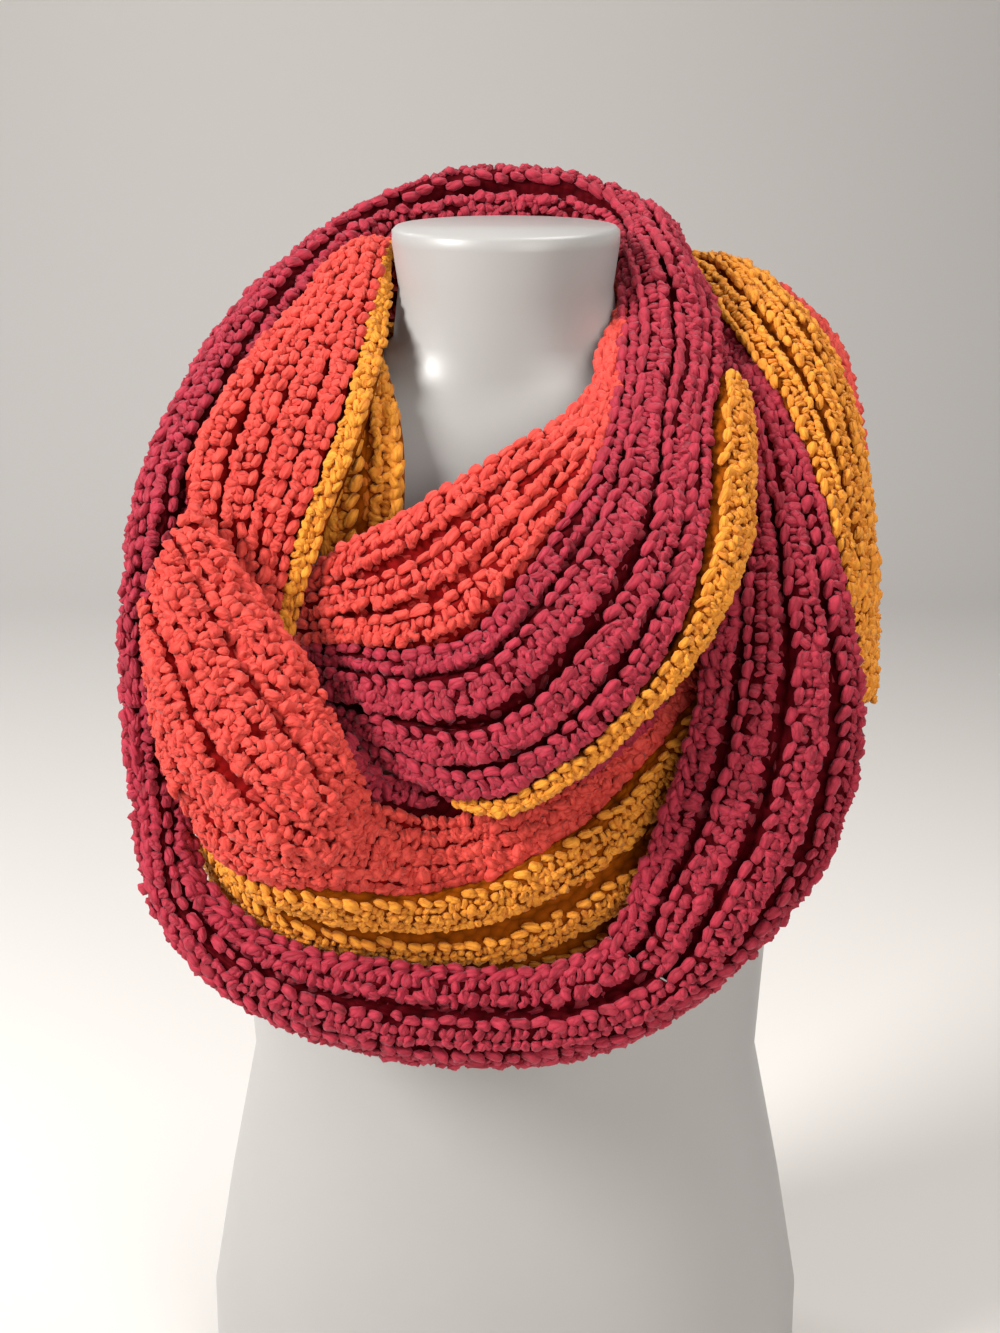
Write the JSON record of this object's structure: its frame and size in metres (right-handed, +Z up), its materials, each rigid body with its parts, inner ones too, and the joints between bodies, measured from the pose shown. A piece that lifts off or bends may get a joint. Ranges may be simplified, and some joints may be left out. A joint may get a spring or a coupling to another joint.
{
  "type": "infinity scarf on a dress form",
  "caption": "Chunky ribbed crochet loop scarf in crimson, mustard and orange stripes, wound round the neck of a smooth limbless dress form.",
  "frame": {"origin": "centre of the form's neck line on the flat base, on the floor", "axes": "+Z up along the neck, the form's front faces -Y, +X to the viewer's right"},
  "size_m": [0.374, 0.3207, 0.6842],
  "materials": {
    "white_plastic": "smooth glossy white",
    "crimson_yarn": "chunky crochet, crimson",
    "orange_yarn": "chunky crochet, burnt orange",
    "mustard_yarn": "chunky crochet, mustard"
  },
  "bodies": {
    "root": {"dress_form": "white_plastic", "left_panel_mustard": "mustard_yarn", "left_panel_orange": "orange_yarn", "back_crimson": "crimson_yarn", "back_mustard": "mustard_yarn", "back_orange": "orange_yarn", "right_crimson": "crimson_yarn", "right_mustard": "mustard_yarn", "right_orange": "orange_yarn", "bottom_crimson": "crimson_yarn", "left_crimson": "crimson_yarn", "collar_crimson": "crimson_yarn", "front_orange": "orange_yarn", "front_crimson": "crimson_yarn", "front_mustard": "mustard_yarn", "hidden_mustard": "mustard_yarn", "lower_crimson": "crimson_yarn", "lower_orange": "orange_yarn", "lower_mustard": "mustard_yarn"}
  },
  "joints": []
}
